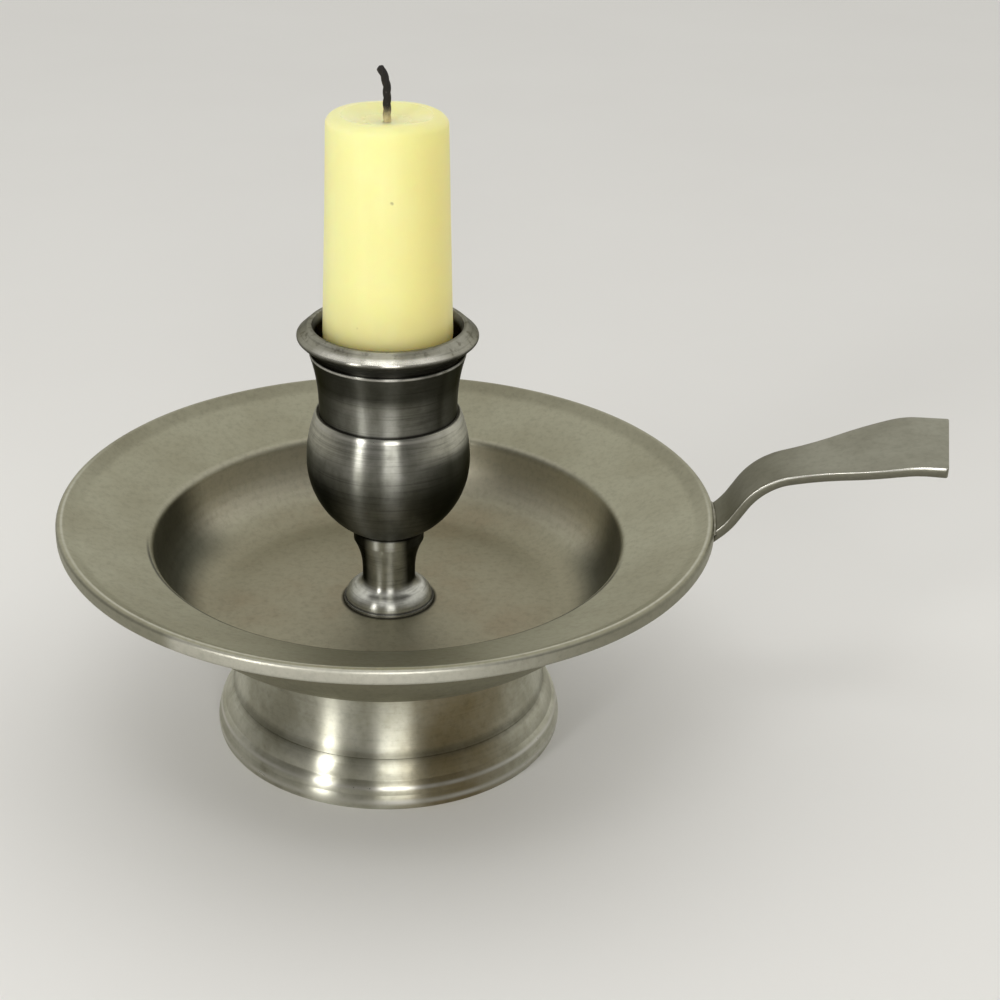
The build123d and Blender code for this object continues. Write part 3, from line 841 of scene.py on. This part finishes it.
# Wick: three cotton strands laid up together, run through the whole candle. Its free end is
# charred black and has bent over, and where it enters the pool the cotton is soaked pale.
hook, hook_radius, hook_start = math.radians(35), 7, 118.6
wick_radius, lay_length = 0.7, 5.5
straight = np.linspace(seat, hook_start, 180, endpoint=False)
bent = np.linspace(0, hook, 24)
wick_x = np.concatenate([0 * straight, -hook_radius * (1 - np.cos(bent))])[:, None]
wick_z = np.concatenate([straight, hook_start + hook_radius * np.sin(bent)])[:, None]
lean = np.concatenate([0 * straight, bent])[:, None]
round_wick = np.linspace(0, 2 * math.pi, 24, endpoint=False)[None, :]
lay = 2 * math.pi * wick_z / lay_length
strand = wick_radius * (0.76 + 0.24 * np.abs(np.cos(1.5 * (round_wick - lay))))
strand[[0, -1]] = 0
strand[-2] *= 0.75
wick_points = np.stack(
    [
        wick_x + strand * np.cos(round_wick) * np.cos(lean),
        strand * np.sin(round_wick) + 0 * lean,
        wick_z + strand * np.cos(round_wick) * np.sin(lean),
    ],
    -1,
)
wick = finished_mesh("wick_strands", wick_points, grid_faces(*wick_points.shape[:2], close_rows=False))


def charred_cotton(name):
    """Cotton that goes from waxed cream to black char along its height, with fine fibres."""
    material, shader, place = new_material(name, 0.0)
    _, _, height = split(place)
    fibres = noise(place, 2400.0, 3.0, 0.7)
    char = (height + fibres * 0.0016).rising(0.1142, 0.1172)
    colour = char.towards((0.70, 0.60, 0.36, 1), (0.012, 0.010, 0.009, 1))
    ash = (fibres.rising(0.60, 0.74) * char * 0.5).towards(colour, (0.16, 0.15, 0.14, 1))
    bump = place.node("ShaderNodeBump", {}, {"Strength": 0.8, "Distance": 0.00008, "Height": fibres})
    feed(shader, Base_Color=ash, Roughness=0.55 + char * 0.35, Normal=bump)
    return material


dress(wick, charred_cotton("charred_cotton"), "wick", "candle")

# Table, light and camera: a plain pale table under soft light, with a tall window to the left of
# the viewer, a wider one behind the viewer, a skylight above, and a dim room around them.
table_mesh = bpy.data.meshes.new("table")
table_corners = [(-3, -3, 0), (3, -3, 0), (3, 3, 0), (-3, 3, 0)]
table_mesh.from_pydata(table_corners, [], [(0, 1, 2, 3)])
table = bpy.data.objects.new("table", table_mesh)
bpy.context.scene.collection.objects.link(table)
table_finish, shader, place = new_material("table_white", 0.0)
feed(shader, Base_Color=noise(place, 9.0).towards((0.80, 0.79, 0.775, 1), (0.84, 0.835, 0.82, 1)))
shader.inputs["Roughness"].default_value = 0.7
table_mesh.materials.append(table_finish)


def window(name, place, aim, width, height, radiance, colour):
    """Rectangular lamp that faces aim and looks as bright as radiance."""
    lamp = bpy.data.lights.new(name, "AREA")
    lamp.shape = "RECTANGLE"
    lamp.size, lamp.size_y = width, height
    lamp.energy = radiance * math.pi * width * height
    lamp.color = colour
    stand = bpy.data.objects.new(name, lamp)
    stand.location = place
    direction = Vector(aim) - Vector(place)
    stand.rotation_euler = direction.to_track_quat("-Z", "Y").to_euler()
    bpy.context.scene.collection.objects.link(stand)


window("window_left", (-0.43, -0.614, 0.27), (0, 0, 0.05), 0.12, 0.50, 10.2, (1.0, 0.99, 0.96))
window("window_front", (0.14, -0.737, 0.27), (0, 0, 0.05), 0.28, 0.50, 4.7, (1.0, 0.99, 0.97))
window("skylight", (-0.06, -0.30, 0.80), (0, 0, 0.05), 0.36, 0.14, 3.0, (1.0, 1.0, 0.99))

room = bpy.data.worlds.new("room")
room.use_nodes = True
bpy.context.scene.world = room
sky = Socket(room.node_tree).node("ShaderNodeTexCoord", output="Generated")
towards_right, towards_back, overhead = split(sky)
lit = (towards_back + overhead * 0.9 + towards_right * 0.15).rising(-0.1, 0.9)
dim, bright = (0.16, 0.155, 0.145, 1), (0.95, 0.94, 0.90, 1)
feed(room.node_tree.nodes["Background"], Color=lit.towards(dim, bright))

eye = Vector((0.0347, -0.2892, 0.1894))
yaw, pitch, roll = (math.radians(a) for a in (-2.9, 26.38, 1.51))
forward = Vector((math.sin(yaw) * math.cos(pitch), math.cos(yaw) * math.cos(pitch), -math.sin(pitch)))
level = Vector((math.cos(yaw), -math.sin(yaw), 0))
upright = level.cross(forward)
across = math.cos(roll) * level + math.sin(roll) * upright
upwards = math.cos(roll) * upright - math.sin(roll) * level
lens = bpy.data.cameras.new("camera")
lens.sensor_width = 36
lens.lens = lens.sensor_width * 1.804
lens.clip_start = 0.01
camera = bpy.data.objects.new("camera", lens)
camera.matrix_world = Matrix((across, upwards, -forward)).transposed().to_4x4()
camera.location = eye
bpy.context.scene.collection.objects.link(camera)
bpy.context.scene.camera = camera
bpy.context.scene.view_settings.view_transform = "Standard"
